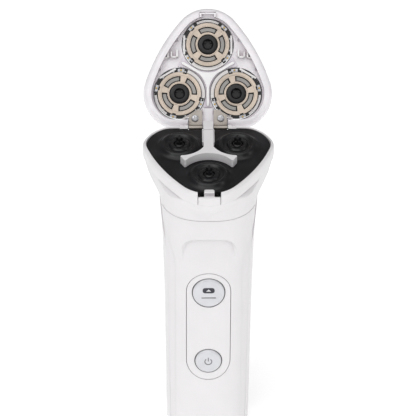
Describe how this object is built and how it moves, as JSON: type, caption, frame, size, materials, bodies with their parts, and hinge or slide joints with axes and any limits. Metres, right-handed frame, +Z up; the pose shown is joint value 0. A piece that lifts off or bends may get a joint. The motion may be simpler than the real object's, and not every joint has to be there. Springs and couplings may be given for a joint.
{
  "type": "electric shaver",
  "caption": "Cordless rotary shaver with a slim upright handle, round control buttons and a flip-open lobed head that hinges at the back to show its cutters.",
  "frame": {"origin": "middle of the flat underside of the base, on the face the shaver stands on", "axes": "+Z up along the handle to the head, -Y out of the control panel, +X to the right seen from the front"},
  "size_m": [0.0614, 0.0933, 0.1905],
  "materials": {
    "white_shell": "gloss",
    "black_gloss": "gloss",
    "button_silver": "satin",
    "steel": "satin",
    "beige_metal": "satin",
    "brass": "satin",
    "grey_plastic": "matte",
    "board_green": "satin",
    "battery_sleeve": "satin",
    "gear_nylon": "matte"
  },
  "bodies": {
    "body": {"front_shell": "white_shell", "rear_shell": "white_shell", "base_cap": "white_shell", "base_screw_left": "steel", "base_screw_right": "steel", "charging_socket": "black_gloss", "charging_pin_left": "brass", "charging_pin_right": "brass", "control_panel": "white_shell", "mode_switch": "grey_plastic", "power_switch": "grey_plastic", "circuit_board": "board_green", "battery": "battery_sleeve", "motor": "steel", "gearbox_plate": "gear_nylon", "head_base": "white_shell", "chamber_deck": "black_gloss", "centre_divider": "white_shell", "hinge_pin_left": "steel", "hinge_pin_right": "steel"},
    "mode_button": {"mode_button": "button_silver"},
    "power_button": {"power_button": "button_silver"},
    "release_button": {"release_button": "white_shell"},
    "motor_pinion": {"motor_pinion": "brass"},
    "lid": {"lid_shell": "white_shell", "retaining_frame": "white_shell", "lid_latch": "white_shell", "hinge_leaf_left": "steel", "hinge_leaf_right": "steel", "leaf_screw_left": "steel", "leaf_screw_right": "steel"},
    "drive_gear_left": {"drive_gear_left": "gear_nylon", "spindle_spring_left": "steel"},
    "drive_gear_right": {"drive_gear_right": "gear_nylon", "spindle_spring_right": "steel"},
    "drive_gear_front": {"drive_gear_front": "gear_nylon", "spindle_spring_front": "steel"},
    "drive_spindle_left": {"drive_spindle_left": "black_gloss"},
    "drive_spindle_right": {"drive_spindle_right": "black_gloss"},
    "drive_spindle_front": {"drive_spindle_front": "black_gloss"},
    "head_left": {"guard_cap_left": "steel", "cutter_retainer_left": "beige_metal", "cutter_cage_left": "white_shell"},
    "head_right": {"guard_cap_right": "steel", "cutter_retainer_right": "beige_metal", "cutter_cage_right": "white_shell"},
    "head_front": {"guard_cap_front": "steel", "cutter_retainer_front": "beige_metal", "cutter_cage_front": "white_shell"},
    "cutter_left": {"inner_cutter_left": "steel", "cutter_hub_left": "black_gloss"},
    "cutter_right": {"inner_cutter_right": "steel", "cutter_hub_right": "black_gloss"},
    "cutter_front": {"inner_cutter_front": "steel", "cutter_hub_front": "black_gloss"}
  },
  "joints": [
    {"name": "lid_hinge", "type": "hinge", "parent": "body", "child": "lid", "pos_m": [0, 0.028, 0.1424], "axis": [1, 0, 0], "range_deg": [0, 128]},
    {"name": "mode_button_press", "type": "slide", "parent": "body", "child": "mode_button", "axis": [0, 1, 0], "range_m": [0, 0.0008], "stiffness_N_per_m": 400, "springref_m": -0.001},
    {"name": "power_button_press", "type": "slide", "parent": "body", "child": "power_button", "axis": [0, 1, 0], "range_m": [0, 0.0008], "stiffness_N_per_m": 400, "springref_m": -0.001},
    {"name": "release_button_press", "type": "slide", "parent": "body", "child": "release_button", "axis": [0, 0.9833, 0.1822], "range_m": [0, 0.001], "stiffness_N_per_m": 500, "springref_m": -0.001},
    {"name": "motor_spin", "type": "hinge", "parent": "body", "child": "motor_pinion", "pos_m": [0, 0.0053, 0.13209], "axis": [0, -0.1822, 0.9833], "continuous": true},
    {"name": "gear_spin_left", "type": "hinge", "parent": "body", "child": "drive_gear_left", "pos_m": [-0.0135, 0.01296, 0.13351], "axis": [0, -0.1822, 0.9833], "continuous": true},
    {"name": "gear_spin_right", "type": "hinge", "parent": "body", "child": "drive_gear_right", "pos_m": [0.0135, 0.01296, 0.13351], "axis": [0, -0.1822, 0.9833], "continuous": true},
    {"name": "gear_spin_front", "type": "hinge", "parent": "body", "child": "drive_gear_front", "pos_m": [0, -0.01003, 0.12925], "axis": [0, -0.1822, 0.9833], "continuous": true},
    {"name": "spindle_slide_left", "type": "slide", "parent": "drive_gear_left", "child": "drive_spindle_left", "axis": [0, 0.1822, -0.9833], "range_m": [0, 0.0015], "stiffness_N_per_m": 300, "springref_m": -0.001, "deforming": ["spindle_spring_left"]},
    {"name": "spindle_slide_right", "type": "slide", "parent": "drive_gear_right", "child": "drive_spindle_right", "axis": [0, 0.1822, -0.9833], "range_m": [0, 0.0015], "stiffness_N_per_m": 300, "springref_m": -0.001, "deforming": ["spindle_spring_right"]},
    {"name": "spindle_slide_front", "type": "slide", "parent": "drive_gear_front", "child": "drive_spindle_front", "axis": [0, 0.1822, -0.9833], "range_m": [0, 0.0015], "stiffness_N_per_m": 300, "springref_m": -0.001, "deforming": ["spindle_spring_front"]},
    {"name": "head_float_left", "type": "slide", "parent": "lid", "child": "head_left", "axis": [0, -0.887, 0.4617], "range_m": [0, 0.0015], "stiffness_N_per_m": 400, "springref_m": -0.001},
    {"name": "head_float_right", "type": "slide", "parent": "lid", "child": "head_right", "axis": [0, -0.887, 0.4617], "range_m": [0, 0.0015], "stiffness_N_per_m": 400, "springref_m": -0.001},
    {"name": "head_float_front", "type": "slide", "parent": "lid", "child": "head_front", "axis": [0, -0.887, 0.4617], "range_m": [0, 0.0015], "stiffness_N_per_m": 400, "springref_m": -0.001},
    {"name": "cutter_spin_left", "type": "hinge", "parent": "head_left", "child": "cutter_left", "pos_m": [-0.0135, 0.04356, 0.1528], "axis": [0, 0.887, -0.4617], "continuous": true},
    {"name": "cutter_spin_right", "type": "hinge", "parent": "head_right", "child": "cutter_right", "pos_m": [0.0135, 0.04356, 0.1528], "axis": [0, 0.887, -0.4617], "continuous": true},
    {"name": "cutter_spin_front", "type": "hinge", "parent": "head_front", "child": "cutter_front", "pos_m": [0, 0.05436, 0.17354], "axis": [0, 0.887, -0.4617], "continuous": true}
  ],
  "couplings": [
    {"joint": "motor_spin", "follows": "cutter_spin_front", "ratio": -2},
    {"joint": "gear_spin_left", "follows": "cutter_spin_front", "ratio": 1},
    {"joint": "gear_spin_right", "follows": "cutter_spin_front", "ratio": 1},
    {"joint": "gear_spin_front", "follows": "cutter_spin_front", "ratio": 1},
    {"joint": "cutter_spin_left", "follows": "cutter_spin_front", "ratio": 1},
    {"joint": "cutter_spin_right", "follows": "cutter_spin_front", "ratio": 1}
  ]
}
